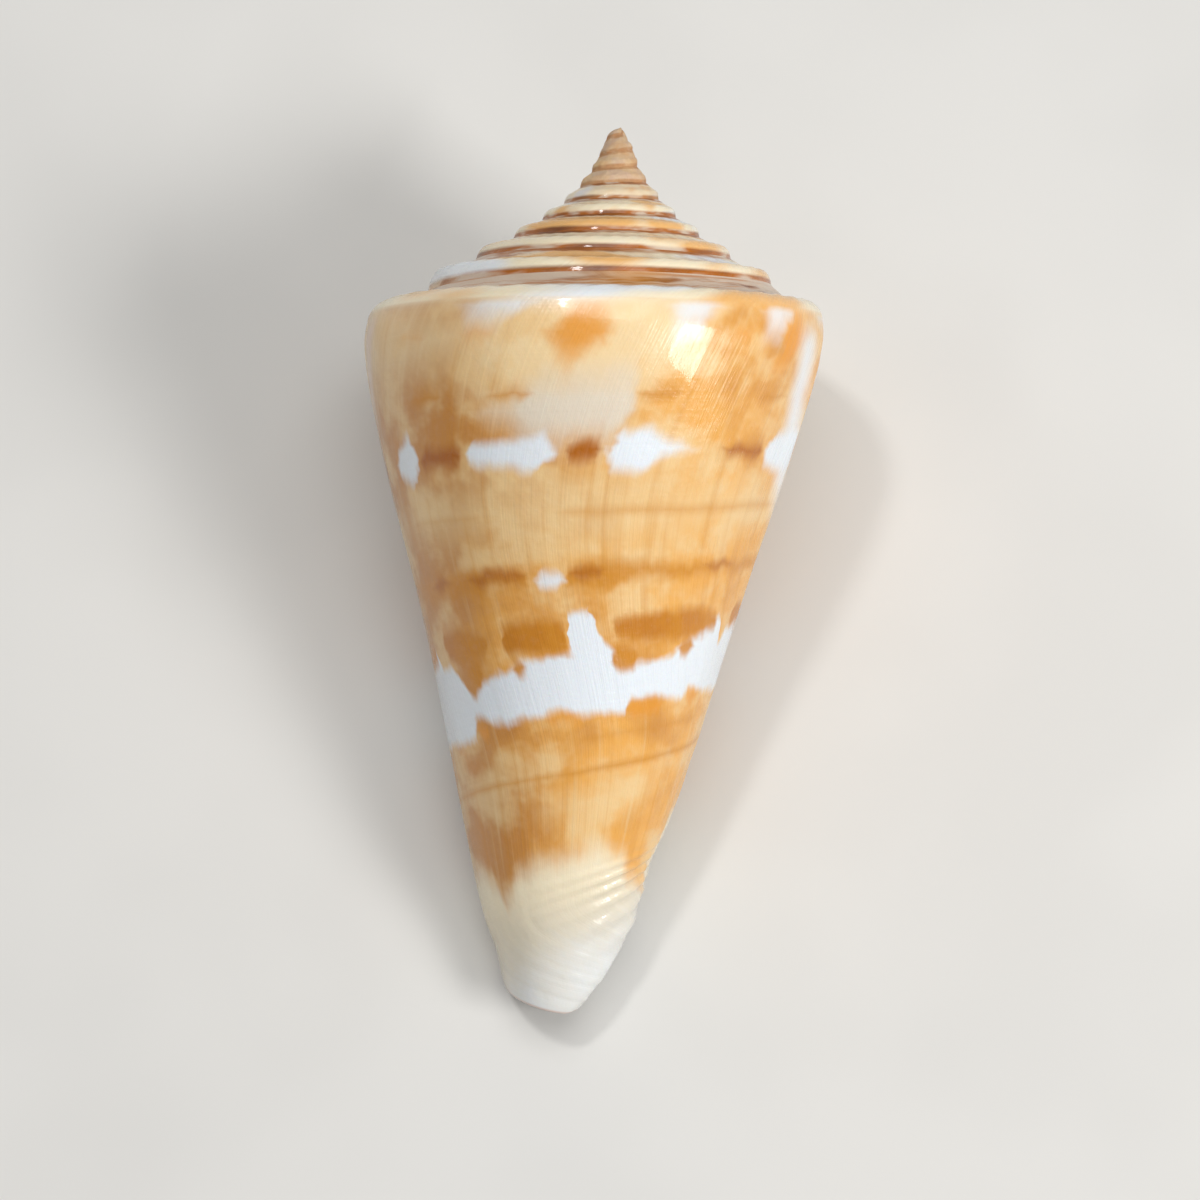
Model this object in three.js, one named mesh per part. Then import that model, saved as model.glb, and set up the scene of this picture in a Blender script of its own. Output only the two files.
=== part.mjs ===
// A cone shell, 42 mm long: one coiled wall of aragonite, hollow inside its last whorl and open along the
// narrow aperture. Millimetres, +Z up. The shell lies on its aperture side, with the spire towards +Y.
//
// The wall is described in the shell's own frame: the coiling axis is z, measured from the apex towards the
// anterior end, and r is the distance from the axis. "age" counts whorls back from the leftmost generator of
// the finished shell: it is LIP_AGE at the growing lip and APEX_AGE at the first whorl. Each growth stage is
// a scaled copy of one generating curve, carried round the axis and slid along it.

import * as THREE from "three";

// Driving dimensions
const TIP_Z = 41.95; // apex to the tip of the columella, along the axis
const SHRINK = 0.27; // loss of size per whorl, going back from age 0 ...
const SHRINK_MORE = 0.008; // ... and how much faster it gets in the early whorls
const SPIRE_RISE = 0.76; // climb per whorl in the early spire
const LATE_DROP = 2.04; // extra descent of the last whorls, which makes the spire concave
const LATE_WHORLS = 1.5; // whorls over which that descent sets in
const LIP_AGE = -0.076;
const APEX_AGE = 9.38;
const APEX_BLUNTNESS = 16; // the higher, the blunter the first whorl
const STEP_HEIGHT = 0.43; // upright face under each shoulder of the spire
const STEP_KEEP = 0.25; // how slowly that face shrinks towards the apex
const SHOULDER_ROUND = 0.38; // how far the shoulder's rim is drawn in above that face ...
const ROUND_SHARE = 0.3; // ... but at most this share of the ramp's width ...
const LAST_ROUND = 0.24; // ... and how much further in and down it is by age 0
const RAMP_SAG = 0.18; // hollow of the ramp between suture and rim, as a share of its width, at age 0
const BEND = 0.5; // how far the anterior end stands off the coiling axis, on the side of age 0 ...
const BEND_FROM = 17; // ... and the height at which that bend begins
const WALL = 0.85;
const LIP_WALL = 0.5; // share of the wall's thickness that is left at the lip's edge
const LIP_THINS_OVER = 0.12; // whorls over which the wall thins to the lip
const LIP_EDGE_MIDDLE = 0.45; // where the edge's middle stands between its outer and its inner side ...
const LIP_EDGE_AHEAD = 0.3; // ... and how far ahead of them, both as shares of the edge's thickness
const END_TAPER = 0.5; // thickness left where the wall runs into the columella
const HOLLOW_WHORLS = 1.0; // how far back the hollow reaches from the lip
const COLUMELLA_END_RADIUS = 0.66;
const COLUMELLA_END_Z = 41.7;

// How the finished shell lies: turned about its axis and tipped, so that the lip, the last whorl and the
// anterior end touch the table together.
const REST_ROLL_DEG = 151.7;
const REST_PITCH_DEG = 14.4;

// Resolution of the facets
const STEPS_PER_WHORL = 36;
const RAMP_COLUMNS = 3; // suture to rim
const FACE_COLUMNS = 1; // rim to the foot of the upright face, where the next whorl's suture runs
const SIDE_COLUMNS = 22; // foot of the face to the anterior end, closer together near both ends
const SIDE_CROWDING = 0.6;

// The side of the last whorl at age 0, from the foot of the upright face to the columella: r, z.
const SIDE = new THREE.SplineCurve(
  [
    [11.6, 9.6],
    [11.78, 10.55],
    [11.4, 13.3],
    [10.21, 18.05],
    [8.43, 23.75],
    [6.27, 31.35],
    [4.655, 37.05],
    [3.65, 39.2],
    [3.05, 40.3],
    [2.2, 41.1],
    [0.95, 41.0],
  ].map(([r, z]) => new THREE.Vector2(r, z)),
);

const RIM = RAMP_COLUMNS;
const FOOT = RAMP_COLUMNS + FACE_COLUMNS;
const END = FOOT + SIDE_COLUMNS;
const INNER_FOOT = FOOT + 2; // where the inside of the wall meets the whorl before

const size = (age) => {
  const blunt = Math.sqrt(Math.max(0, 1 - (Math.max(age, 0) / APEX_AGE) ** APEX_BLUNTNESS));
  return Math.exp(-(SHRINK * age + SHRINK_MORE * age * age)) * blunt;
};

const shoulderZ = (age) => SPIRE_RISE * (APEX_AGE - age) + LATE_DROP * Math.exp(-age / LATE_WHORLS);
const stepHeight = (age) => STEP_HEIGHT * size(age) ** STEP_KEEP;

// How far a growth line lags behind the shoulder's, in degrees round the axis: a shallow notch on the ramp,
// a lead of the lip's middle, and a long sweep back to the columella at the anterior end.
const NOTCH_DEG = 9;
const LEAD_DEG = 16;
const LEAD_TO = 0.65; // share of the side's length
const SWEEP_DEG = 140;
const SWEEP_FROM = 0.88;
const SWEEP_EASE = 1.5;
const smooth = (x) => THREE.MathUtils.smoothstep(x, 0, 1);

// Share of the side's length from the foot down to a column.
function down(column) {
  const even = (column - FOOT) / SIDE_COLUMNS;
  return THREE.MathUtils.lerp(even, (1 - Math.cos(Math.PI * even)) / 2, SIDE_CROWDING);
}

function lag(column) {
  if (column <= FOOT) return (NOTCH_DEG / 360) * Math.sin((Math.PI * column) / FOOT);
  const lead = -LEAD_DEG * Math.sin(Math.PI * Math.min(1, down(column) / LEAD_TO));
  const sweep = SWEEP_DEG * smooth((down(column) - SWEEP_FROM) / (1 - SWEEP_FROM)) ** SWEEP_EASE;
  return (lead + sweep) / 360;
}

// The mesh follows the growth lines at the lip, and further back it runs straight along the shell: there a
// column lies in the growth stage that has come round to the same side.
const STRAIGHT_AFTER = 0.7; // whorls behind the lip
const share = (age) => 1 - smooth((age - LIP_AGE) / STRAIGHT_AFTER);
const stage = (age, column) => age - (1 - share(age)) * lag(column);

// A point of the shell's frame as x, y, z with the apex up; whorls run clockwise seen from the apex.
function place(r, z, age, column) {
  const turn = 2 * Math.PI * (age - LIP_AGE + share(age) * lag(column));
  return bent(new THREE.Vector3(r * Math.cos(turn), r * Math.sin(turn), -z));
}

function bent(point) {
  const along = Math.max(0, (-point.z - BEND_FROM) / (TIP_Z - BEND_FROM));
  const side = -2 * Math.PI * LIP_AGE;
  point.x += BEND * along ** 2 * Math.cos(side);
  point.y += BEND * along ** 2 * Math.sin(side);
  return point;
}

const footRadius = (age) => SIDE.getPoint(0).x * size(age);

function profile(age, column) {
  const k = size(age);
  if (column >= FOOT) {
    const p = SIDE.getPointAt(down(column));
    const below = p.y - SIDE.getPoint(0).y;
    return [p.x * k, shoulderZ(age) + stepHeight(age) + below * k];
  }
  const width = footRadius(age) - footRadius(age + 1);
  const soft = LAST_ROUND * (1 - smooth(age));
  const round = Math.min(SHOULDER_ROUND, ROUND_SHARE * width) + soft;
  const rim = [footRadius(age) - round, shoulderZ(age) + soft];
  if (column >= RIM) {
    const up = (FOOT - column) / FACE_COLUMNS;
    return [footRadius(age) - round * up ** 2, rim[1] + (stepHeight(age) - soft) * (1 - up)];
  }
  const suture =
    age + 1 > APEX_AGE ? [0, 0] : [footRadius(age + 1), shoulderZ(age + 1) + stepHeight(age + 1)];
  const out = column / RIM;
  const sag = RAMP_SAG * size(age) ** 2 * width * Math.sin(Math.PI * out);
  return [
    THREE.MathUtils.lerp(suture[0], rim[0], out),
    THREE.MathUtils.lerp(suture[1], rim[1], out) + sag,
  ];
}

// The outside of the wall. Its first column is the suture, which lies on the foot of the whorl before.
function outside(age, column) {
  if (age >= APEX_AGE - 1e-6) return new THREE.Vector3();
  if (column === 0) return age + 1 < APEX_AGE - 1e-6 ? outside(age + 1, FOOT) : new THREE.Vector3();
  const [r, z] = profile(stage(age, column), column);
  return place(r, z, age, column);
}

// The inside of the wall. Its first column lies on the whorl before, just inside the suture.
function inside(age, column) {
  if (column === 0) return outside(age + 1, INNER_FOOT);
  const thin = LIP_WALL + (1 - LIP_WALL) * smooth((age - LIP_AGE) / LIP_THINS_OVER);
  const at = stage(age, column);
  const [r0, z0] = profile(at, column - 1);
  const [r1, z1] = profile(at, Math.min(column + 1, END));
  const [r, z] = profile(at, column);
  const normal = new THREE.Vector2(z0 - z1, r1 - r0).normalize();
  const taper = column === END ? END_TAPER : 1;
  const depth = WALL * thin * size(at) * taper;
  return place(r + normal.x * depth, z + normal.y * depth, age, column);
}

// The middle of the lip's rounded edge stands a little ahead of both its sides. At the suture it lies on the
// whorl before.
function lipEdge(column) {
  if (column === 0) return outside(LIP_AGE + 1, FOOT + 1);
  const outer = outside(LIP_AGE, column);
  const inner = inside(LIP_AGE, column);
  const middle = outer.clone().lerp(inner, LIP_EDGE_MIDDLE);
  const ahead = new THREE.Vector3(middle.y, -middle.x, 0).normalize();
  return middle.addScaledVector(ahead, outer.distanceTo(inner) * LIP_EDGE_AHEAD);
}

const triangles = [];
const SAME = 1e-4;

function triangle(a, b, c) {
  if (a.distanceTo(b) < SAME || b.distanceTo(c) < SAME || c.distanceTo(a) < SAME) return;
  triangles.push(a, b, c);
}

// Two triangles, split along the shorter diagonal.
function quad(a, b, c, d) {
  if (a.distanceTo(c) <= b.distanceTo(d)) {
    triangle(a, b, c);
    triangle(a, c, d);
  } else {
    triangle(a, b, d);
    triangle(b, c, d);
  }
}

// A patch of quads over whole steps of age and whole columns.
function patch(surface, fromStep, toStep, fromColumn, toColumn, flip = false) {
  const at = (step, column) => surface(LIP_AGE + step / STEPS_PER_WHORL, column);
  for (let i = fromStep; i < toStep; i++) {
    for (let j = fromColumn; j < toColumn; j++) {
      const corners = [at(i, j), at(i, j + 1), at(i + 1, j + 1), at(i + 1, j)];
      if (flip) corners.reverse();
      quad(...corners);
    }
  }
}

const LAST_WHORL = STEPS_PER_WHORL;
const HOLLOW = Math.round(STEPS_PER_WHORL * HOLLOW_WHORLS);
const ALL_STEPS = Math.ceil((APEX_AGE - LIP_AGE) * STEPS_PER_WHORL);
const ageOf = (step) => LIP_AGE + step / STEPS_PER_WHORL;

function outerSkin() {
  patch(outside, 0, ALL_STEPS, 0, FOOT);
  patch(outside, 0, LAST_WHORL, FOOT, END);
}

function lip() {
  for (let j = 0; j < END; j++) {
    const outer = [outside(LIP_AGE, j), outside(LIP_AGE, j + 1)];
    const edge = [lipEdge(j), lipEdge(j + 1)];
    const inner = [inside(LIP_AGE, j), inside(LIP_AGE, j + 1)];
    quad(outer[1], outer[0], edge[0], edge[1]);
    quad(edge[1], edge[0], inner[0], inner[1]);
  }
}

function hollow() {
  patch(inside, 0, HOLLOW, 0, END, true);
  patch(outside, LAST_WHORL, LAST_WHORL + HOLLOW, INNER_FOOT, END);
  // the columella's own face, between the end of the whorl before and the end of this one
  for (let i = 0; i < HOLLOW; i++) {
    quad(
      outside(ageOf(i + LAST_WHORL), END),
      inside(ageOf(i), END),
      inside(ageOf(i + 1), END),
      outside(ageOf(i + 1 + LAST_WHORL), END),
    );
  }
  // the blind end
  const wall = (j) => inside(ageOf(HOLLOW), j);
  const floor = (j) => outside(ageOf(HOLLOW + LAST_WHORL), Math.max(j, INNER_FOOT));
  for (let j = 0; j < END; j++) quad(wall(j + 1), wall(j), floor(j), floor(j + 1));
}

function columellaTip() {
  const ring = (i) => place(COLUMELLA_END_RADIUS, COLUMELLA_END_Z, ageOf(i % LAST_WHORL), END);
  const tip = bent(new THREE.Vector3(0, 0, -TIP_Z));
  const last = LAST_WHORL - 1;
  for (let i = 0; i < last; i++) {
    quad(outside(ageOf(i), END), ring(i), ring(i + 1), outside(ageOf(i + 1), END));
  }
  // the last strip also takes in the columella's edge inside the lip
  const rim = [
    outside(ageOf(last), END),
    outside(ageOf(LAST_WHORL), END),
    inside(LIP_AGE, END),
    lipEdge(END),
    outside(LIP_AGE, END),
    ring(0),
  ];
  for (let n = 0; n + 1 < rim.length; n++) triangle(rim[n + 1], rim[n], ring(last));
  for (let i = 0; i < LAST_WHORL; i++) triangle(ring(i + 1), ring(i), tip);
}

outerSkin();
lip();
hollow();
columellaTip();

const geometry = new THREE.BufferGeometry().setFromPoints(triangles);
geometry.computeVertexNormals();

const material = new THREE.MeshStandardMaterial({ color: 0xe0b07a, roughness: 0.3, metalness: 0 });
const mesh = new THREE.Mesh(geometry, material);
mesh.name = "shell";

// Lay the shell down: axis towards -Y for the anterior end, then roll and tip, then stand it on z = 0.
const lying = new THREE.Group();
const pitch = new THREE.Matrix4().makeRotationX(THREE.MathUtils.degToRad(-90 + REST_PITCH_DEG));
const roll = new THREE.Matrix4().makeRotationZ(THREE.MathUtils.degToRad(REST_ROLL_DEG));
geometry.applyMatrix4(roll).applyMatrix4(pitch);
geometry.computeBoundingBox();
const box = geometry.boundingBox;
mesh.position.set(-(box.min.x + box.max.x) / 2, -(box.min.y + box.max.y) / 2, -box.min.z);
lying.add(mesh);

export default lying;
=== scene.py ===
"""A cone shell lying aperture-down, grown from its lip line back to the apex, then pigmented and polished."""

import math

import bpy
import numpy as np
from bpy.props import FloatProperty, FloatVectorProperty, IntProperty, PointerProperty
from mathutils import Matrix, Vector, noise


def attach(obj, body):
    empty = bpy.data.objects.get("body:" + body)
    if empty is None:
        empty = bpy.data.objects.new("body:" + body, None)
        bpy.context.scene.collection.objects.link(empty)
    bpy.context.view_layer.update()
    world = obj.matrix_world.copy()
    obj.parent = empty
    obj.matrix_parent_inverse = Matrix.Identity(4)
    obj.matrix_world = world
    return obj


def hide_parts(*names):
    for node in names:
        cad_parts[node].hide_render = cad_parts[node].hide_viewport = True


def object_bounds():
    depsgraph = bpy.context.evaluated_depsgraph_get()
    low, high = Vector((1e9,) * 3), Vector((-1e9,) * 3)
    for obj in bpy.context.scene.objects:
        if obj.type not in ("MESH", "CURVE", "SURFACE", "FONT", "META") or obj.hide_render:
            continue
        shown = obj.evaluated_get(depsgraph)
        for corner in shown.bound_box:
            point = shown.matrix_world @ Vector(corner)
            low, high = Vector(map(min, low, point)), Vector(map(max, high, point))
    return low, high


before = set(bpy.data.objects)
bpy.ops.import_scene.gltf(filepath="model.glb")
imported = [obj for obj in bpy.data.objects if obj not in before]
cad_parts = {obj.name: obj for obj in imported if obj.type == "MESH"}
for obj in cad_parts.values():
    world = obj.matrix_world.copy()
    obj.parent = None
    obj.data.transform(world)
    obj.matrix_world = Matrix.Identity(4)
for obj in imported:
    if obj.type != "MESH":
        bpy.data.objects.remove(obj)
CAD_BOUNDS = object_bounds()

bl_info = {
    "name": "Cone Shell",
    "version": (1, 0, 0),
    "blender": (4, 5, 0),
    "location": "View3D > Sidebar > Shell",
    "description": "Grows a cone shell as similar copies of its lip line, and lights it",
    "category": "Add Mesh",
}

MM = 0.001

# The growth of the shell, in millimetres and whorls. Age counts whorls back from the leftmost generator:
# it is LIP_AGE at the growing lip and APEX_AGE at the first whorl. Heights are measured from the apex.
LIP_AGE = -0.076
APEX_AGE = 9.38
APEX_BLUNTNESS = 60  # how suddenly the first whorl closes
TIP_HEIGHT = 41.95
SHRINK = 0.27  # how fast older whorls are smaller, per whorl, and how much faster with each whorl
SHRINK_MORE = 0.008
SPIRE_RISE = 0.76  # height of a whorl over the one after it, and how much more the last ones drop
LATE_DROP = 2.04
LATE_WHORLS = 1.5
STEP_HEIGHT = 0.43  # height of the foot under the shoulder line; older whorls keep more than their size
STEP_KEEP = 0.25
FACE_RISE = 0.8  # height of the rounded face over its foot, and what older whorls keep of it
FACE_KEEP = 0.3
SHOULDER_ROUND = 0.55  # how far the rim is drawn in over the foot, and at most which share of the ramp
ROUND_SHARE = 0.34
LAST_RISE = 0.15  # how much higher and rounder the face is at the lip
LAST_ROUND = 0.75
RAMP_SAG = 0.18
SUTURE_DIP = 0.42  # how far the last suture runs below its place close to the lip
SUTURE_WAVER = 0.09
BEND = 0.5  # how far the anterior end is bent off the axis, and the height where the bend begins
BEND_FROM = 17.0
COLUMELLA_END_RADIUS = 0.66
COLUMELLA_END_HEIGHT = 41.7

# The side of the last whorl at age 0, from the foot of the upright face to the columella: radius, height.
SIDE = (
    (11.6, 9.6),
    (11.78, 10.55),
    (11.4, 13.3),
    (10.21, 18.05),
    (8.43, 23.75),
    (6.27, 31.35),
    (4.655, 37.05),
    (3.65, 39.2),
    (3.05, 40.3),
    (2.2, 41.1),
    (0.95, 41.0),
)

# How far a growth line lags behind the shoulder's, in degrees round the axis.
NOTCH_DEG = 9.0
LEAD_DEG = 16.0
LEAD_TO = 0.65
SWEEP_DEG = 140.0
SWEEP_FROM = 0.88
SWEEP_EASE = 1.5

# The columns of the mesh across a growth line: shares of the ramp from the suture out to the rim, shares of
# the upright face from the rim down to its foot, and shares of the side down to the columella.
RAMP_SHARES = (0.0, 0.07, 0.35, 0.65, 0.88, 1.0)
FACE_SHARES = (0.3, 0.62, 0.9, 1.0)
SHOULDER_SHARE, CORDS_SHARE = 0.12, 0.72
SIDE_SHARES = (
    [SHOULDER_SHARE * (i + 1) / 5 for i in range(5)]
    + [SHOULDER_SHARE + (CORDS_SHARE - SHOULDER_SHARE) * (i + 1) / 9 for i in range(9)]
    + [CORDS_SHARE + (1 - CORDS_SHARE) * (i + 1) / 16 for i in range(16)]
)
RIM = len(RAMP_SHARES) - 1
FOOT = RIM + len(FACE_SHARES)
END = FOOT + len(SIDE_SHARES)
INNER_FOOT = FOOT + 2  # where the inside of the wall meets the whorl before
RIM_GIRTH = 0.7  # the girth coordinate is 0 at the suture, this at the rim, 1 at the foot and 2 at the end

HOLLOW_WHORLS = 0.6  # how far back the aperture is open
SEED = Vector((3.1, 7.7, 1.9))


def smooth(x):
    x = min(1.0, max(0.0, x))
    return x * x * (3 - 2 * x)


def lerp(a, b, t):
    return a + (b - a) * t


def side_curve(t):
    """A point of the side's spline, t from 0 to 1 over its knots."""
    last = len(SIDE) - 1
    knot = min(last - 1, int(t * last))
    w = t * last - knot
    p0, p1, p2, p3 = (np.array(SIDE[min(last, max(0, knot + k))]) for k in (-1, 0, 1, 2))
    v0, v1 = (p2 - p0) / 2, (p3 - p1) / 2
    return (2 * p1 - 2 * p2 + v0 + v1) * w**3 + (3 * p2 - 3 * p1 - 2 * v0 - v1) * w**2 + v0 * w + p1


SIDE_SAMPLES = np.array([side_curve(t) for t in np.linspace(0, 1, 1201)])
SIDE_RUN = np.concatenate(([0.0], np.cumsum(np.linalg.norm(np.diff(SIDE_SAMPLES, axis=0), axis=1))))


def side_at(share):
    run = share * SIDE_RUN[-1]
    return tuple(float(np.interp(run, SIDE_RUN, SIDE_SAMPLES[:, i])) for i in (0, 1))


SIDE_POINTS = [side_at(share) for share in [0.0, *SIDE_SHARES]]


def size(age):
    blunt = math.sqrt(max(0.0, 1 - (max(age, 0.0) / APEX_AGE) ** APEX_BLUNTNESS))
    return math.exp(-(SHRINK * age + SHRINK_MORE * age * age)) * blunt


def shoulder_height(age):
    return SPIRE_RISE * (APEX_AGE - age) + LATE_DROP * math.exp(-age / LATE_WHORLS)


def step_height(age):
    return STEP_HEIGHT * size(age) ** STEP_KEEP


def foot_height(age):
    return shoulder_height(age) + step_height(age)


def foot_radius(age):
    return SIDE[0][0] * size(age)


def suture_dip(age):
    """The last suture comes down towards the lip, and wavers a little everywhere."""
    near_lip = smooth((age - 0.78) / 0.16) * (1 - smooth((age - 0.98) / 0.3))
    waver = noise.noise(Vector((age * 9.0, 0.0, 4.0))) * smooth((age - 0.85) / 0.1)
    return SUTURE_DIP * near_lip + SUTURE_WAVER * waver * size(age)


def girth(column):
    if column <= RIM:
        return RIM_GIRTH * RAMP_SHARES[column]
    if column <= FOOT:
        return RIM_GIRTH + (1 - RIM_GIRTH) * FACE_SHARES[column - RIM - 1]
    return 1 + SIDE_SHARES[column - FOOT - 1]


def lag(column):
    """In whorls: a shallow notch on the ramp, a lead of the middle, a long sweep at the anterior end."""
    if column <= FOOT:
        return NOTCH_DEG / 360 * math.sin(math.pi * girth(column))
    share = girth(column) - 1
    lead = -LEAD_DEG * math.sin(math.pi * min(1.0, share / LEAD_TO))
    return (lead + SWEEP_DEG * smooth((share - SWEEP_FROM) / (1 - SWEEP_FROM)) ** SWEEP_EASE) / 360


def profile(age, column):
    """Radius and height of a growth line's column."""
    if column > FOOT:
        radius, height = SIDE_POINTS[column - FOOT]
        return radius * size(age), foot_height(age) + (height - SIDE[0][1]) * size(age)
    width = foot_radius(age) - foot_radius(age + 1)
    last = 1 - smooth(age)
    drawn_in = min(SHOULDER_ROUND, ROUND_SHARE * width) + LAST_ROUND * last
    foot = foot_height(age) + suture_dip(age)
    face = FACE_RISE * size(age) ** FACE_KEEP + LAST_RISE * last
    rim_radius, rim_height = foot_radius(age) - drawn_in, foot_height(age) - face
    if column > RIM:
        turn = FACE_SHARES[column - RIM - 1] * math.pi / 2
        return rim_radius + drawn_in * math.sin(turn), foot - (foot - rim_height) * math.cos(turn)
    out = RAMP_SHARES[column]
    if age + 1 >= APEX_AGE:
        return rim_radius * math.sqrt(out), rim_height * out**1.5
    suture_height = foot_height(age + 1) + suture_dip(age + 1)
    sag = RAMP_SAG * size(age) ** 2 * width * math.sin(math.pi * out)
    return (
        lerp(foot_radius(age + 1), rim_radius, out),
        lerp(suture_height, max(rim_height, suture_height), out) + sag,
    )


def place(radius, height, age, lagging):
    turn = 2 * math.pi * (age - LIP_AGE + lagging)
    return Vector((radius * math.cos(turn), radius * math.sin(turn), -height))


def outside(age, column):
    if age > APEX_AGE - 1e-6:
        return Vector()
    return place(*profile(age, column), age, lag(column))


def inside(age, column, wall, lip_wall):
    """The inside of the wall, which thins towards the lip and towards the columella."""
    if column == 0:
        return outside(age + 1, INNER_FOOT)
    (r0, z0), (r1, z1) = profile(age, column - 1), profile(age, min(column + 1, END))
    radius, height = profile(age, column)
    across = math.hypot(r1 - r0, z1 - z0)
    thin = lerp(lip_wall / wall, 1.0, smooth((age - LIP_AGE) / 0.12)) * (0.5 if column == END else 1.0)
    depth = wall * thin * size(age) / across
    return place(radius + (z0 - z1) * depth, height + (r1 - r0) * depth, age, lag(column))


def lip_edge(column, wall, lip_wall):
    if column == 0:
        return outside(LIP_AGE + 1, FOOT + 1)
    outer, inner = outside(LIP_AGE, column), inside(LIP_AGE, column, wall, lip_wall)
    middle = outer.lerp(inner, 0.45)
    ahead = Vector((middle.y, -middle.x, 0)).normalized()
    return middle + ahead * (outer - inner).length * 0.3


# --------------------------------------------------------------------------------------------------
# Growing the mesh


def deselect_all():
    bpy.ops.object.select_all(action="DESELECT")


class Cage:
    """A mesh that is grown in edit mode. It keeps each vertex's age, girth and place inside or outside."""

    def __init__(self, name, line):
        bpy.ops.mesh.primitive_grid_add(x_subdivisions=len(line) - 1, y_subdivisions=1, size=1)
        self.shell = bpy.context.object
        self.shell.name = self.shell.data.name = name
        bpy.context.tool_settings.mesh_select_mode = (True, False, False)
        self.select(v.index for v in self.mesh.vertices if v.co.y > 0)
        bpy.ops.object.mode_set(mode="EDIT")
        bpy.ops.mesh.delete(type="VERT")
        bpy.ops.object.mode_set(mode="OBJECT")
        self.marks = {}
        self.settle(range(len(line)), line)

    @property
    def mesh(self):
        return self.shell.data

    def select(self, indices):
        wanted = set(indices)
        for group in (self.mesh.edges, self.mesh.polygons):
            group.foreach_set("select", [False] * len(group))
        self.mesh.vertices.foreach_set("select", [i in wanted for i in range(len(self.mesh.vertices))])

    def settle(self, indices, points):
        for index, point in zip(indices, points):
            self.mesh.vertices[index].co = point

    def mark(self, indices, ages, girths, inner):
        for index, age, along in zip(indices, ages, girths):
            self.marks[index] = (age, along, inner)

    def extrude(self, sources, points=None):
        """Extrudes the edges between the given vertices; the new ones come back in the same order."""
        self.select(sources)
        first = len(self.mesh.vertices)
        bpy.ops.object.mode_set(mode="EDIT")
        bpy.ops.mesh.extrude_edges_move()
        bpy.ops.object.mode_set(mode="OBJECT")
        rank = {source: first + i for i, source in enumerate(sorted(sources))}
        made = [rank[source] for source in sources]
        if points:
            self.settle(made, points)
        return made

    def grow(self, line, ages):
        """Each stage is the one before, turned about the axis, scaled to its age and slid along."""
        self.select(line)
        first, rows = len(self.mesh.vertices), []
        order = sorted(range(len(line)), key=lambda i: line[i])
        bpy.ops.object.mode_set(mode="EDIT")
        for step, (age, older) in enumerate(zip(ages, ages[1:])):
            ratio = size(older) / size(age)
            bpy.ops.mesh.extrude_edges_move()
            bpy.ops.transform.rotate(
                value=-2 * math.pi * (older - age), orient_axis="Z", center_override=(0, 0, 0)
            )
            bpy.ops.transform.resize(value=(ratio,) * 3, center_override=(0, 0, -foot_height(age)))
            bpy.ops.transform.translate(value=(0, 0, foot_height(age) - foot_height(older)))
            row = [0] * len(line)
            for rank, i in enumerate(order):
                row[i] = first + step * len(line) + rank
            rows.append(row)
        bpy.ops.object.mode_set(mode="OBJECT")
        return rows

    def weld(self):
        """Stores the growth coordinates on the mesh, then merges what lies together and closes it."""
        coordinates = self.mesh.uv_layers.new(name="growth")
        for loop in self.mesh.loops:
            coordinates.uv[loop.index].vector = self.marks[loop.vertex_index][:2]
        inner = self.mesh.attributes.new(name="inner", type="FLOAT", domain="POINT")
        for index, (_, _, value) in self.marks.items():
            inner.data[index].value = value
        bpy.ops.object.mode_set(mode="EDIT")
        bpy.ops.mesh.select_all(action="SELECT")
        bpy.ops.mesh.remove_doubles(threshold=0.002)
        bpy.ops.mesh.dissolve_degenerate(threshold=0.001)
        bpy.ops.mesh.select_all(action="SELECT")
        bpy.ops.mesh.normals_make_consistent(inside=False)
        bpy.ops.mesh.select_all(action="DESELECT")
        bpy.ops.mesh.select_non_manifold()
        bpy.ops.object.mode_set(mode="OBJECT")
        loose = sum(v.select for v in self.mesh.vertices)
        if loose:
            raise RuntimeError(f"{self.shell.name} isn't closed: {loose} open vertices")


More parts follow.
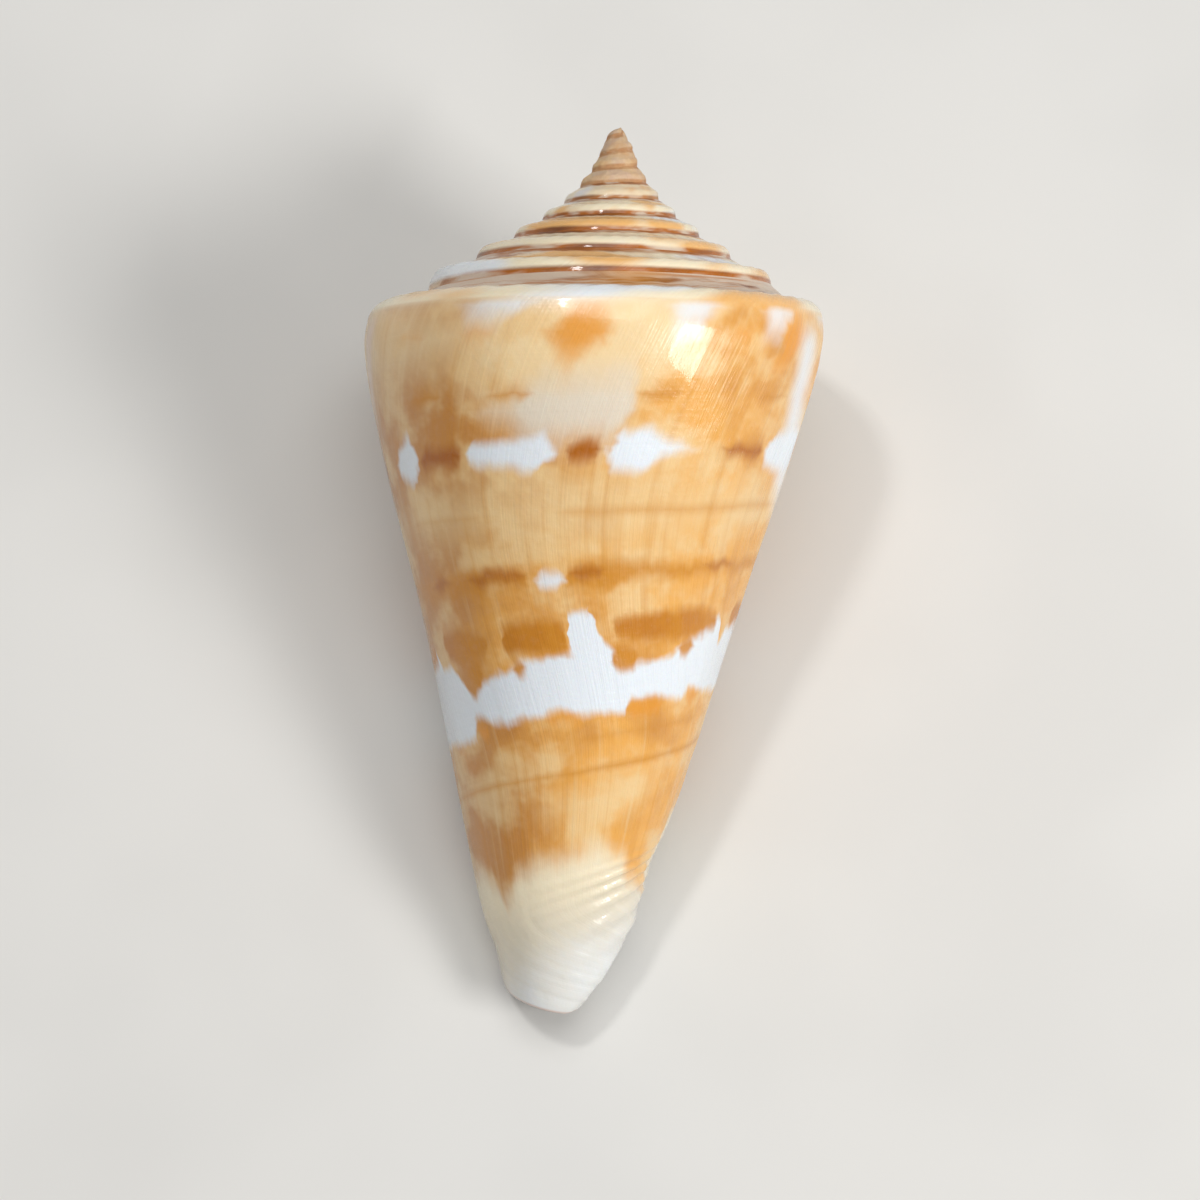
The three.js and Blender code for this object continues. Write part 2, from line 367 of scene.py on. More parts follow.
def grow_shell(form):
    """The whole wall as a closed cage, in millimetres, with its apex at the origin and up."""
    steps = form.steps_per_whorl
    hollow = round(steps * HOLLOW_WHORLS)
    wall, lip_wall = form.wall / MM, form.lip_wall / MM
    every = range(END + 1)
    girths = [girth(column) for column in every]
    ages = [LIP_AGE + i / steps for i in range(math.ceil((APEX_AGE - LIP_AGE) * steps))] + [APEX_AGE]

    cage = Cage("cone_shell", [outside(LIP_AGE, column) for column in every])
    rows = [list(every)] + cage.grow(list(every), ages[: steps + 1])
    spire = cage.grow(rows[steps][: FOOT + 1], ages[steps:-1])
    spire.append(cage.extrude(spire[-1], [Vector()] * (FOOT + 1)))
    parietal = [rows[steps][INNER_FOOT:]] + cage.grow(
        rows[steps][INNER_FOOT:], ages[steps : steps + hollow + 1]
    )

    # the ramp and the upright face settle onto the whorl before, and the side keeps its grown place
    outer = rows + spire
    for age, row in zip(ages, outer):
        cage.settle(row[: FOOT + 1], [outside(age, column) for column in range(FOOT + 1)])
        cage.mark(row, [age] * len(row), girths, 0.0)
    cage.settle([spire[-1][0]], [Vector()])
    for step, row in enumerate(rows[: steps + 1]):
        sutures = outer[step + steps][FOOT]
        cage.settle([row[0]], [cage.mesh.vertices[sutures].co])
    for step in range(steps + 1, len(outer)):
        older = outer[step + steps][FOOT] if step + steps < len(outer) else None
        cage.settle([outer[step][0]], [cage.mesh.vertices[older].co if older else Vector()])
    for step, row in enumerate(parietal):
        inner = smooth(step / 5)
        cage.mark(row, [ages[steps + step]] * len(row), girths[INNER_FOOT:], inner)

    # the lip's rounded edge and the inside of the wall
    edge = cage.extrude(rows[0], [lip_edge(column, wall, lip_wall) for column in every])
    lining = [cage.extrude(edge, [inside(LIP_AGE, column, wall, lip_wall) for column in every])]
    lining += cage.grow(lining[0], ages[: hollow + 1])
    cage.mark(edge, [LIP_AGE] * len(edge), girths, 0.6)
    for step, row in enumerate(lining):
        age = ages[step]
        cage.settle(row, [inside(age, column, wall, lip_wall) for column in every])
        cage.settle([row[0]], [cage.mesh.vertices[parietal[step][0]].co])
        cage.mark(row, [age] * len(row), girths, 1.0)

    # the blind end of the hollow, and the columella's own face
    last = [cage.mesh.vertices[i].co.copy() for i in parietal[hollow]]
    floor = [last[max(0, column - INNER_FOOT)] for column in every]
    blind = cage.extrude(lining[hollow], floor)
    cage.mark(blind, [ages[hollow]] * len(blind), girths, 1.0)
    inner_end = [row[END] for row in lining]
    before = [cage.mesh.vertices[row[-1]].co.copy() for row in parietal]
    pillar = cage.extrude(inner_end, before)
    cage.mark(pillar, ages[: hollow + 1], [2.0] * len(pillar), 1.0)

    # the columella's tip closes the anterior end
    loop = [row[END] for row in rows] + [pillar[0], inner_end[0], edge[END]]
    loop_ages = ages[: steps + 1] + [LIP_AGE] * 3
    ring = cage.extrude(
        loop, [place(COLUMELLA_END_RADIUS, COLUMELLA_END_HEIGHT, age, lag(END)) for age in loop_ages]
    )
    tip = cage.extrude(ring, [Vector((0, 0, -TIP_HEIGHT))] * len(ring))
    for band in (ring, tip):
        cage.mark(band, loop_ages, [2.0] * len(band), 0.3)
    cage.weld()
    return cage.shell


def subdivide(shell, levels):
    modifier = shell.modifiers.new("Rounded", "SUBSURF")
    modifier.levels = modifier.render_levels = levels
    modifier.uv_smooth = "NONE"
    bpy.ops.object.modifier_apply(modifier=modifier.name)


def growth_of(mesh):
    """Age and girth of every vertex."""
    corners = np.zeros(len(mesh.loops), dtype=np.int32)
    mesh.loops.foreach_get("vertex_index", corners)
    coordinates = np.zeros(len(mesh.loops) * 2, dtype=np.float32)
    mesh.uv_layers["growth"].uv.foreach_get("vector", coordinates)
    found = np.zeros((len(mesh.vertices), 2))
    found[corners] = coordinates.reshape(-1, 2)
    return found


def soften(x, low, high):
    t = np.clip((x - low) / (high - low), 0, 1)
    return t * t * (3 - 2 * t)


def wear_and_growth(shell, form):
    """Moves the surface along its normals: spiral cords, growth ridges, an old break, worn first whorls."""
    mesh = shell.data
    count = len(mesh.vertices)
    points, normals = np.zeros(count * 3), np.zeros(count * 3)
    mesh.vertices.foreach_get("co", points)
    mesh.vertices.foreach_get("normal", normals)
    points, normals = points.reshape(-1, 3), normals.reshape(-1, 3)
    inner = np.zeros(count, dtype=np.float32)
    mesh.attributes["inner"].data.foreach_get("value", inner)
    age, around = growth_of(mesh).T
    share = around - 1
    outer = 1 - np.clip(inner * 2, 0, 1)
    on_side = soften(share, 0.0, 0.05)

    rough = np.array([noise.noise(Vector(p) * 0.55 + SEED) for p in points])
    fine = np.array([noise.noise(Vector(p) * 2.6 + SEED) for p in points])

    # spiral cords round the anterior end, strongest a third of a whorl back from the lip
    wave = np.cos(2 * np.pi * (share * form.cord_count + 0.1 * rough))
    cords = soften(share, 0.81, 0.88) * (1 - soften(share, 0.97, 1.0))
    cords = cords * soften(age, 0.04, 0.3) * (1 - 0.4 * soften(age, 0.38, 0.5))
    lift = form.cord_height / MM * (0.5 + 0.5 * wave) ** 1.6 * cords * (0.75 + 0.5 * rough)

    # growth ridges follow the growth lines
    beat = 0.0
    for cycles, phase, weight in ((17, 0.3, 0.45), (29, 1.9, 0.3), (47, 4.1, 0.25)):
        beat = beat + weight * np.sin(2 * np.pi * cycles * age + phase + 1.5 * rough)
    lift += form.ridge_height / MM * beat * on_side * (0.5 + 0.8 * soften(age, 0.2, 0.45)) * (0.7 + rough)

    # an old break of the lip, healed: a step with a low ridge in front
    scar = age - form.scar_age - 0.03 * soften(share, 0.0, 0.3) - 0.004 * rough
    healed = on_side * (1 - soften(share, 0.35, 0.6))
    lift += 0.16 * healed * (np.exp(-((scar / 0.012) ** 2)) - 0.6 * np.exp(-(((scar - 0.03) / 0.014) ** 2)))

    # the ramp carries curved growth folds near the last suture
    ramp = (1 - soften(around, 0.75, 0.95)) * soften(around, 0.02, 0.12)
    folds = np.sin(2 * np.pi * 41 * age + 5 * around + 3 * rough)
    lift += 0.035 * ramp * folds * np.exp(-age / 2.5)

    # the anterior end is full and blunt, and chipped; the first whorls are worn and granular
    lift += (0.2 + 0.25 * soften(age, 0.15, 0.35)) * soften(share, 0.86, 0.97)
    lift += 0.05 * fine * soften(age, 4.6, 6.5)
    lift -= 0.2 * np.abs(rough + 0.6 * fine) * soften(share, 0.965, 0.99)
    lift += 0.05 * soften(age, 6.5, 8.5)

    points += normals * (lift * outer)[:, None]
    along = np.maximum(0, (-points[:, 2] - BEND_FROM) / (TIP_HEIGHT - BEND_FROM)) ** 2
    points[:, 0] += BEND * along * math.cos(-2 * math.pi * LIP_AGE)
    points[:, 1] += BEND * along * math.sin(-2 * math.pi * LIP_AGE)
    mesh.vertices.foreach_set("co", points.ravel())
    mesh.update()


def lay_down(shell, form):
    """Rolls the shell onto its aperture, tips its axis and stands its apex where the frame has it."""
    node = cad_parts["shell"]
    apex = max((v.co for v in node.data.vertices), key=lambda co: co.y).copy()
    deselect_all()
    shell.select_set(True)
    bpy.context.view_layer.objects.active = shell
    shell.scale = (MM, MM, MM)
    shell.rotation_euler = (0, 0, form.roll)
    bpy.ops.object.transform_apply(location=False, rotation=True, scale=True)
    shell.rotation_euler = (form.pitch - math.pi / 2, 0, 0)
    bpy.ops.object.transform_apply(location=False, rotation=True, scale=False)
    top = max((v.co for v in shell.data.vertices), key=lambda co: co.y).copy()
    shell.location = apex - top
    bpy.ops.object.transform_apply(location=True, rotation=False, scale=False)
    # what little of the lip would reach through the ground rests on it
    sunk = min(v.co.z for v in shell.data.vertices)
    shell.location.z = -sunk
    bpy.ops.object.transform_apply(location=True, rotation=False, scale=False)


# --------------------------------------------------------------------------------------------------
# Shader maths


class Value:
    """A number that varies over the surface: a socket with the usual operators."""

    def __init__(self, paint, socket):
        self.paint, self.socket = paint, socket

    def maths(self, operation, *others):
        values = dict(enumerate((self, *others)))
        return self.paint.node("ShaderNodeMath", {"operation": operation}, values).value()

    def __add__(self, other):
        return self.maths("ADD", other)

    def __sub__(self, other):
        return self.maths("SUBTRACT", other)

    def __mul__(self, other):
        return self.maths("MULTIPLY", other)

    def __truediv__(self, other):
        return self.maths("DIVIDE", other)

    def __rsub__(self, other):
        return (self * -1) + other

    __radd__ = __add__
    __rmul__ = __mul__

    def __abs__(self):
        return self.maths("ABSOLUTE")

    def most(self, other):
        return self.maths("MAXIMUM", other)

    def least(self, other):
        return self.maths("MINIMUM", other)

    def rise(self, low, high):
        """0 up to low, 1 from high, and smooth between."""
        values = {"Value": self, "From Min": low, "From Max": high}
        return self.paint.node("ShaderNodeMapRange", {"interpolation_type": "SMOOTHSTEP"}, values).value()

    def near(self, centre, half, soft):
        """1 within half of the centre, fading to 0 over the soft margin."""
        return 1 - (abs(self - centre) - half).rise(-soft / 2, soft / 2)


class Made:
    """A node that was just made."""

    def __init__(self, paint, node):
        self.paint, self.node = paint, node

    def value(self, name=0):
        return Value(self.paint, self.node.outputs[name])

    def socket(self, name=0):
        return self.node.outputs[name]


class Paint:
    """A material's nodes."""

    def __init__(self, name):
        self.material = bpy.data.materials.new(name)
        self.material.use_nodes = True
        self.tree = self.material.node_tree
        self.surface = self.tree.nodes["Principled BSDF"]

    def node(self, kind, settings=None, inputs=None):
        made = self.tree.nodes.new(kind)
        for name, setting in (settings or {}).items():
            if name == "stops":
                ramp = made.color_ramp
                while len(ramp.elements) > 1:
                    ramp.elements.remove(ramp.elements[-1])
                for i, (position, level) in enumerate(setting):
                    element = ramp.elements[0] if i == 0 else ramp.elements.new(position)
                    element.position, element.color = position, (level, level, level, 1)
            elif name == "blend":
                made.color_ramp.interpolation = setting
            else:
                setattr(made, name, setting)
        for name, given in (inputs or {}).items():
            self.put(made.inputs[name], given)
        return Made(self, made)

    def put(self, socket, given):
        if isinstance(given, Value):
            given = given.socket
        if isinstance(given, bpy.types.NodeSocket):
            self.tree.links.new(given, socket)
        else:
            socket.default_value = given

    def mix(self, under, over, mask):
        """Colour over colour by a mask."""
        made = self.node("ShaderNodeMix", {"data_type": "RGBA", "clamp_factor": True})
        self.put(made.node.inputs["Factor"], mask)
        for name, colour in (("A", under), ("B", over)):
            socket = next(s for s in made.node.inputs if s.name == name and s.type == "RGBA")
            self.put(socket, colour if isinstance(colour, bpy.types.NodeSocket) else (*colour, 1))
        return next(s for s in made.node.outputs if s.type == "RGBA")

    def clouds(self, vector, scale, detail=2.0, rough=0.5):
        values = {"Vector": vector, "Scale": scale, "Detail": detail, "Roughness": rough}
        return self.node("ShaderNodeTexNoise", {"noise_dimensions": "3D"}, values).value("Fac")

    def spot(self, x, y, z=0.0):
        """A vector of three values."""
        return self.node("ShaderNodeCombineXYZ", {}, {"X": x, "Y": y, "Z": z}).socket()


AGE_FROM, AGE_SPAN = -0.1, 1.1


class Pigment:
    """Lays rows of marks over the last whorl. Ages run back from the lip, shares run down the side."""

    def __init__(self, paint, age, share):
        self.paint, self.age, self.share = paint, age, share

    def along(self, stops):
        """A level that changes with age, from a list of ages and levels between 0 and 1."""
        settings = {"stops": [((age - AGE_FROM) / AGE_SPAN, level) for age, level in stops], "blend": "EASE"}
        across = (self.age - AGE_FROM) / AGE_SPAN
        return self.paint.node("ShaderNodeValToRGB", settings, {"Fac": across}).value("Color")

    def row(self, centre, half, soft, stops):
        """Marks on one spiral row; a level of 1 is the full half width, and 0 is no mark."""
        width = self.along(stops) * (half + soft) - soft
        return 1 - (abs(self.share - centre) - width).rise(-soft * 0.8, soft * 0.8)

    def lay(self, under, colours, rows):
        """Lays rows over a colour, one after another. Each is a colour, its strength and what row() takes."""
        for name, strength, *shape in rows:
            under = self.paint.mix(under, getattr(colours, name), self.row(*shape) * strength)
        return under


def dashes(*spans, fade=0.006):
    """Stops for marks that begin and end sharply: each span is from one age to another, with its level."""
    stops = [(AGE_FROM, 0.0)]
    for start, end, *level in spans:
        height = level[0] if level else 1.0
        stops += [(start - fade, 0.0), (start + fade, height), (end - fade, height), (end + fade, 0.0)]
    return stops


def tone(code):
    """Linear red, green and blue from a web colour."""
    parts = [int(code[i : i + 2], 16) / 255 for i in (0, 2, 4)]
    return tuple(c / 12.92 if c <= 0.04045 else ((c + 0.055) / 1.055) ** 2.4 for c in parts)


# --------------------------------------------------------------------------------------------------
# The markings, each a colour, its strength, the row's share down the side, half width, soft edge and stops

# paler zones of the ground
PALE_ZONES = (
    (
        "pale", 0.7, 0.3, 0.06, 0.07,
        [(-0.1, 0.5), (0.05, 0.5), (0.14, 0.8), (0.3, 1), (0.42, 0.8), (0.5, 0.5), (0.7, 0.8), (0.85, 0.5)],
    ),
    (
        "pale", 0.6, 0.735, 0.02, 0.05,
        [(-0.1, 0.2), (0.14, 0.2), (0.2, 0.8), (0.32, 1), (0.4, 0.4), (0.6, 0.8), (0.8, 0.3)],
    ),
)

# how far the warm clouds reach below the shoulder
BUTTER_REACH = [
    (-0.1, 0.6), (0.05, 0.7), (0.16, 0.6), (0.2, 1), (0.3, 0.9), (0.34, 0.2), (0.5, 0.1), (0.6, 0.9),
    (0.8, 0.5),
]

# a pale cloud, the shoulder's orange and white spots, a row of thin dashes, and one of dark dashes and white
UPPER_ROWS = (
    (
        "haze", 0.8, 0.155, 0.055, 0.05,
        [
            (-0.1, 0.3), (0.16, 0.0), (0.2, 0.45), (0.23, 0.9), (0.29, 1), (0.31, 0.1), (0.5, 0.0),
            (0.62, 0.9), (0.7, 0),
        ],
    ),
    (
        "deep", 0.9, 0.045, 0.04, 0.04,
        dashes(
            (0.1, 0.125, 0.4), (0.16, 0.185, 0.5), (0.225, 0.262), (0.355, 0.375, 0.6), (0.39, 0.43),
            (0.55, 0.6), (0.72, 0.78), fade=0.016,
        ),
    ),
    (
        "white", 1.0, 0.0, 0.034, 0.05,
        dashes(
            (0.15, 0.205, 0.8), (0.295, 0.335), (0.372, 0.4, 0.95), (0.45, 0.5, 0.6), (0.62, 0.7),
            (0.83, 0.9), fade=0.016,
        ),
    ),
    (
        "amber", 0.85, 0.127, 0.012, 0.018,
        dashes(
            (0.118, 0.152), (0.19, 0.228, 0.8), (0.3, 0.335, 0.9), (0.4, 0.44, 0.8), (0.6, 0.64),
            (0.74, 0.79), fade=0.01,
        ),
    ),
    (
        "white", 1.0, 0.217, 0.032, 0.018,
        [
            (-0.1, 0.2), (-0.03, 0.9), (0.0, 0), (0.085, 0), (0.1, 0.8), (0.12, 1), (0.127, 0.1), (0.178, 0),
            (0.19, 0.7), (0.22, 0.75), (0.24, 0.95), (0.252, 0.35), (0.258, 0), (0.288, 0), (0.3, 0.9),
            (0.32, 1), (0.345, 0.55), (0.368, 0.2), (0.375, 0), (0.43, 0), (0.45, 0.9), (0.5, 1), (0.53, 0),
            (0.6, 0), (0.62, 0.9), (0.66, 0.6), (0.68, 0), (0.8, 0), (0.82, 0.9), (0.88, 0.3), (0.9, 0),
        ],
    ),
    (
        "amber", 0.3, 0.217, 0.034, 0.03,
        dashes(
            (0.02, 0.06), (0.13, 0.18), (0.256, 0.292), (0.385, 0.436, 0.8), (0.56, 0.6), (0.7, 0.78),
            fade=0.008,
        ),
    ),
    (
        "brown", 1.0, 0.217, 0.015, 0.018,
        dashes((0.02, 0.06), (0.13, 0.178), (0.262, 0.29), (0.392, 0.434, 0.8), (0.56, 0.6), (0.7, 0.78)),
    ),
)
UPPER_LINE = (
    (
        "amber", 0.5, 0.306, 0.008, 0.014,
        dashes((0.1, 0.2, 0.6), (0.26, 0.5, 0.9), (0.6, 0.8, 0.8), fade=0.03),
    ),
)

# the broken band, its dark core and its white gaps
BAND = (
    (
        "amber", 0.85, 0.4, 0.024, 0.018,
        [
            (-0.1, 0.8), (0.04, 0.9), (0.15, 0.85), (0.225, 0.7), (0.235, 0), (0.258, 0), (0.265, 0.8),
            (0.3, 0.95), (0.34, 0.7), (0.42, 0.6), (0.5, 0.7), (0.62, 0.9), (0.64, 0), (0.68, 0), (0.7, 0.8),
            (0.9, 0.9),
        ],
    ),
    (
        "brown", 0.7, 0.395, 0.010, 0.012,
        dashes(
            (0.03, 0.07, 0.8), (0.11, 0.14), (0.165, 0.228, 0.9), (0.266, 0.298), (0.4, 0.44, 0.8),
            (0.55, 0.6), (0.72, 0.8), fade=0.012,
        ),
    ),
    ("white", 0.9, 0.404, 0.012, 0.014, dashes((0.236, 0.262), (0.642, 0.676))),
)

# the white band lies between two uneven edges: each has a share to start from and a depth for its levels
TOP_EDGE = [
    (-0.1, 0.3), (0.07, 0.25), (0.085, 0.55), (0.1, 0.5), (0.128, 0.85), (0.15, 0.7), (0.175, 0.62),
    (0.2, 0.55), (0.255, 0.5), (0.262, 0.12), (0.282, 0.1), (0.29, 0.42), (0.31, 0.68), (0.36, 0.66),
    (0.4, 0.5), (0.418, 0.3), (0.44, 0.3), (0.447, 0.62), (0.47, 0.5), (0.5, 0.3), (0.6, 0.6), (0.64, 0.3),
    (0.7, 0.7), (0.78, 0.5), (0.86, 0.7),
]
BOTTOM_EDGE = [
    (-0.1, 0.5), (0.0, 0.45), (0.02, 0.66), (0.112, 0.7), (0.117, 0.36), (0.15, 0.5), (0.2, 0.52),
    (0.228, 0.48), (0.25, 0.56), (0.3, 0.6), (0.306, 0.4), (0.34, 0.42), (0.38, 0.54), (0.4, 0.45),
    (0.46, 0.58), (0.5, 0.6), (0.6, 0.4), (0.64, 0.6), (0.72, 0.5), (0.8, 0.3), (0.86, 0.5),
]
TOP_FROM, TOP_DEPTH = 0.44, 0.14
BOTTOM_FROM, BOTTOM_DEPTH = 0.545, 0.1
BAND_SOFT = 0.01

# the squares above it, and the dots and lumps at its edges
SQUARES = (
    0.485, 0.024, 0.016,
    [
        (-0.1, 0.4), (0.0, 0), (0.02, 0.9), (0.07, 0.8), (0.078, 0), (0.098, 0), (0.105, 0.9), (0.125, 1),
        (0.16, 0.8), (0.166, 0), (0.184, 0), (0.19, 0.95), (0.25, 1), (0.258, 0), (0.3, 0), (0.306, 0.7),
        (0.33, 0.9), (0.4, 1), (0.43, 0.7), (0.436, 0), (0.466, 0), (0.475, 0.9), (0.53, 0.8), (0.54, 0),
        (0.62, 0), (0.63, 0.9), (0.7, 0.8), (0.71, 0), (0.78, 0), (0.8, 1), (0.88, 0.7),
    ],
)
DOTS_AND_LUMPS = (
    (
        "amber", 0.95, 0.524, 0.018, 0.014,
        dashes(
            (0.126, 0.146), (0.186, 0.204, 0.8), (0.292, 0.32), (0.378, 0.4, 0.9), (0.6, 0.62), (0.74, 0.76)
        ),
    ),
    (
        "deep", 0.8, 0.603, 0.012, 0.014,
        dashes(
            (0.116, 0.13), (0.21, 0.25, 0.8), (0.304, 0.35), (0.395, 0.415), (0.6, 0.62), (0.7, 0.74),
            fade=0.008,
        ),
    ),
)

# two thin lines below the band
LOWER_LINES = (
    (
        "amber", 0.5, 0.636, 0.005, 0.014,
        dashes((0.14, 0.2, 0.7), (0.24, 0.42, 0.9), (0.62, 0.8, 0.8), fade=0.02),
    ),
    (
        "amber", 0.8, 0.686, 0.004, 0.012,
        [(-0.1, 0.5), (0.1, 0.9), (0.2, 0.8), (0.3, 1), (0.45, 1), (0.55, 0.4), (0.7, 0.9), (0.9, 0.6)],
    ),
)

# where the pale anterior end begins, with orange running down into it, and a pale patch at its edge
PALE_END = [
    (-0.1, 0.3), (0.05, 0.4), (0.085, 0.5), (0.1, 0.62), (0.12, 0.6), (0.14, 0.5), (0.2, 0.48),
    (0.28, 0.47), (0.32, 0.56), (0.36, 0.75), (0.41, 0.9), (0.44, 0.7), (0.452, 0.45), (0.5, 0.5),
    (0.6, 0.45), (0.7, 0.7), (0.8, 0.4),
]
PALE_END_FROM, PALE_END_DEPTH = 0.685, 0.26
PALE_PATCH = (("cream", 0.9, 0.86, 0.04, 0.03, dashes((0.455, 0.49), fade=0.008)),)


# --------------------------------------------------------------------------------------------------
# The shell's material


class Skin:
    """What varies over the shell: where each point grew, and the clouds that its colours follow."""

    def __init__(self):
        self.paint = paint = Paint("polished_shell")
        self.here = paint.node("ShaderNodeTexCoord").socket("Object")
        growth = paint.node("ShaderNodeUVMap", {"uv_map": "growth"}).socket()
        split = paint.node("ShaderNodeSeparateXYZ", {}, {0: growth})
        self.age, self.girth = split.value("X"), split.value("Y")
        self.inner = paint.node("ShaderNodeAttribute", {"attribute_name": "inner"}).value("Fac")
        self.patches = paint.clouds(self.here, 420, 3.0)
        self.grain = paint.clouds(self.here, 2600, 2.0)

        # the marks waver, and fray along the growth lines; thin lines only waver
        clots = paint.clouds(self.here, 900, 2.0)
        fray = paint.clouds(paint.spot(self.age * 110, self.girth * 9), 1.0, 1.0)
        age = self.age + (self.patches - 0.5) * 0.022 + (clots - 0.5) * 0.016
        share = self.girth - 1 + (fray - 0.5) * 0.012 + (self.patches - 0.5) * 0.016 + (clots - 0.5) * 0.014
        self.marks = Pigment(paint, age, share)
        self.lines = Pigment(paint, age, self.girth - 1 + (self.patches - 0.5) * 0.012)

        # the first whorls are worn, and the side begins at the foot of the last whorl's upright face
        self.worn = self.age.rise(4.6, 6.2)
        self.below_face = self.girth.rise(0.93, 1.03)


def ground_colour(skin, colours):
    """Orange, turning to duller tan near the lip (partly the shell's own colour, partly painted shade on the
    side turned away from the light), with paler clouds and zones and with streaks along the growth lines.
    """
    paint, marks, patches = skin.paint, skin.marks, skin.patches
    broad = paint.clouds(skin.here, 170, 2.0)
    # painted shade: the ground runs from orange back along the whorl to duller tan towards the lip; this is
    # partly the shell's own colour and partly the shade of the side turned away from the light
    warmth_and_shade = (broad + (marks.age - 0.22) * 1.2 + (patches - 0.5) * 0.6).rise(0.3, 0.72)
    ground = paint.mix(colours.tan, colours.orange, warmth_and_shade)
    ground = paint.mix(ground, colours.pale, patches.rise(0.42, 0.66) * 0.7)
    ground = marks.lay(ground, colours, PALE_ZONES)
    streaks = paint.clouds(paint.spot(skin.age * 90, skin.girth * 2.5), 1.0, 3.0)
    ground = paint.mix(ground, colours.amber, streaks.rise(0.5, 0.75) * 0.35)
    return paint.mix(ground, colours.pale, (1 - streaks.rise(0.22, 0.46)) * 0.4)


def marked_side(skin, colours):
    """The last whorl's side, from the clouds under the shoulder down to the pale anterior end."""
    paint, marks, share, patches = skin.paint, skin.marks, skin.marks.share, skin.patches
    butter = marks.row(0.05, 0.10, 0.08, BUTTER_REACH) * (1 - patches.rise(0.48, 0.66) * 0.7)
    side = paint.mix(ground_colour(skin, colours), colours.butter, butter * 0.8)
    side = marks.lay(side, colours, UPPER_ROWS)
    side = skin.lines.lay(side, colours, UPPER_LINE)
    side = marks.lay(side, colours, BAND)

    top = marks.along(TOP_EDGE) * TOP_DEPTH + TOP_FROM
    bottom = marks.along(BOTTOM_EDGE) * BOTTOM_DEPTH + BOTTOM_FROM
    in_band = (share - top).rise(-BAND_SOFT, BAND_SOFT)
    past_band = (share - bottom).rise(-BAND_SOFT, BAND_SOFT)
    side = paint.mix(side, colours.white, in_band * (1 - past_band))
    squares = marks.row(*SQUARES)
    side = paint.mix(side, colours.amber, squares)
    side = paint.mix(side, colours.brown, squares * patches.rise(0.35, 0.65) * 0.4)
    side = marks.lay(side, colours, DOTS_AND_LUMPS)
    side = skin.lines.lay(side, colours, LOWER_LINES)

    anterior = (share - (marks.along(PALE_END) * PALE_END_DEPTH + PALE_END_FROM)).rise(-0.03, 0.03)
    ends = paint.mix(colours.cream, colours.bone, share.rise(0.84, 0.93))
    ends = paint.mix(ends, colours.white, share.rise(0.9, 0.97) * (patches * 0.8 + 0.45).least(1) * 0.85)
    side = paint.mix(side, ends, anterior)
    return marks.lay(side, colours, PALE_PATCH)


def scarred_side(skin, colours, form):
    """The marked side with its healed break, white with orange behind it, and the lip's pale strip."""
    paint, share = skin.paint, skin.marks.share
    side = marked_side(skin, colours)
    along_break = skin.age - share * 0.22
    ridge = along_break.near(form.scar_age - 0.035, 0.012, 0.024)
    side = paint.mix(side, colours.white, ridge * (1 - share.rise(0.25, 0.36)) * share.rise(0.0, 0.06) * 0.85)
    behind = along_break.near(form.scar_age + 0.03, 0.03, 0.03)
    side = paint.mix(side, colours.deep, behind * (1 - share.rise(0.3, 0.4)) * share.rise(0.0, 0.05) * 0.8)
    strip = skin.age.near(0.042, 0.01, 0.016)
    return paint.mix(side, colours.lip, strip * (1 - share.rise(0.1, 0.2)) * share.rise(-0.01, 0.03) * 0.6)


def suture_colour(skin, colours, hues, last):
    """Brown and umber, greyer in places, with thin streaks and an amber tongue on the last ramp."""
    paint = skin.paint
    suture = paint.mix(colours.brown, colours.umber, hues.rise(0.45, 0.7))
    suture = paint.mix(suture, colours.mauve, (1 - (hues - last * 0.16).rise(0.38, 0.5)) * 0.9)
    streaks = paint.clouds(paint.spot(skin.age * 6, skin.girth * 20, 2.2), 1.0, 3.0).rise(0.5, 0.64) * last
    suture = paint.mix(suture, colours.brown, streaks * 0.7)
    tongue = (skin.age + skin.girth * 0.08).near(0.27, 0.03, 0.06)
    return paint.mix(suture, colours.amber, tongue * 0.6)


def spire_colour(skin, colours):
    """Bright whorls with orange clouds, dark sutures and worn first whorls; also how dark each point is."""
    paint, girth = skin.paint, skin.girth
    spots = paint.clouds(paint.spot(skin.age * 5.5, girth * 0.9, 3.7), 1.0, 2.0)
    bright = paint.mix(colours.cream, colours.orange, spots.rise(0.53, 0.64) * 0.85)
    bright = paint.mix(bright, colours.white, (1 - spots.rise(0.38, 0.49)) * 0.95)

    hues = paint.clouds(paint.spot(skin.age * 11, girth * 4, 9.1), 1.0, 3.0)
    last = 1 - skin.age.rise(0.95, 1.2)
    reach = last * 0.36 + 0.08 + skin.age.rise(1.5, 4.0) * 0.14 + (hues - 0.5) * 0.22
    gutter = 1 - (girth - reach).rise(-0.05, 0.09)
    below = (girth + (hues - 0.5) * 0.06).rise(0.9, 0.97) * skin.age.rise(0.9, 1.0)
    dark = gutter.most(below) * (hues + 0.55).least(1)
    spire = paint.mix(bright, suture_colour(skin, colours, hues, last), dark)

    mottle = (skin.grain * 0.5 + skin.patches * 0.6).rise(0.45, 0.7)
    worn = paint.mix(colours.worn, colours.pale, mottle * 0.6)
    worn = paint.mix(worn, colours.brown, dark * 0.35)
    return paint.mix(spire, worn, skin.worn * 0.85), dark


